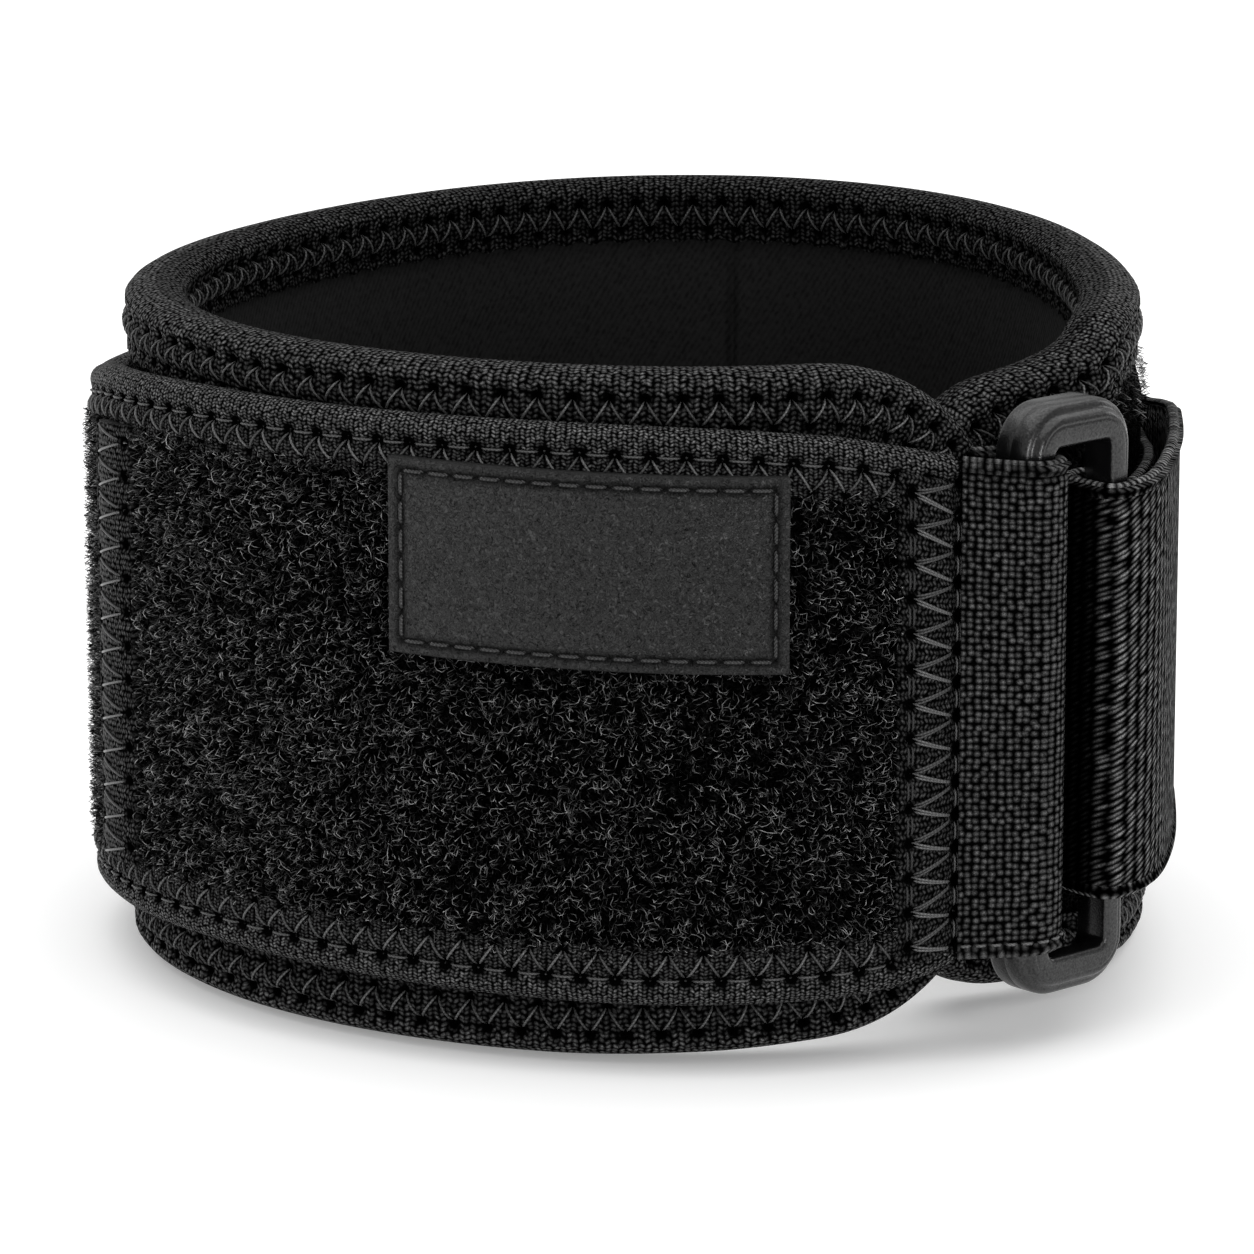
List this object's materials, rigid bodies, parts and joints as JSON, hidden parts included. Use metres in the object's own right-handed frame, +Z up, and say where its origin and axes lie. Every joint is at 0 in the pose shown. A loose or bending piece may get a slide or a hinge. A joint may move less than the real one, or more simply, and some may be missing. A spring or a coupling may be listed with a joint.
{
  "type": "wrist support",
  "caption": "Neoprene wrist support band with bound edges, a pile-faced panel strap and a webbing pull strap closed through a plastic buckle.",
  "frame": {"origin": "middle of the support's footprint on the floor it stands on", "axes": "+Z up along the wrist, -Y towards the labelled front, +X towards the buckle"},
  "size_m": [0.0836, 0.092, 0.0512],
  "materials": {
    "neoprene": "matt knit lining and pile face on foam rubber",
    "binding_knit": "matt knitted tape",
    "loop_pile": "matt brushed loop pile",
    "leatherette": "fine-grained satin",
    "webbing": "woven, slightly lustrous",
    "buckle_plastic": "moulded satin"
  },
  "bodies": {
    "root": {"neoprene_band": "neoprene", "band_binding": "binding_knit", "loop_panel": "loop_pile", "panel_binding_top": "binding_knit", "panel_binding_bottom": "binding_knit", "side_seam_tape": "binding_knit", "end_seam_tape": "binding_knit", "label_patch": "leatherette", "buckle_tab": "webbing", "strap_buckle": "buckle_plastic", "pull_strap": "webbing"}
  },
  "joints": []
}
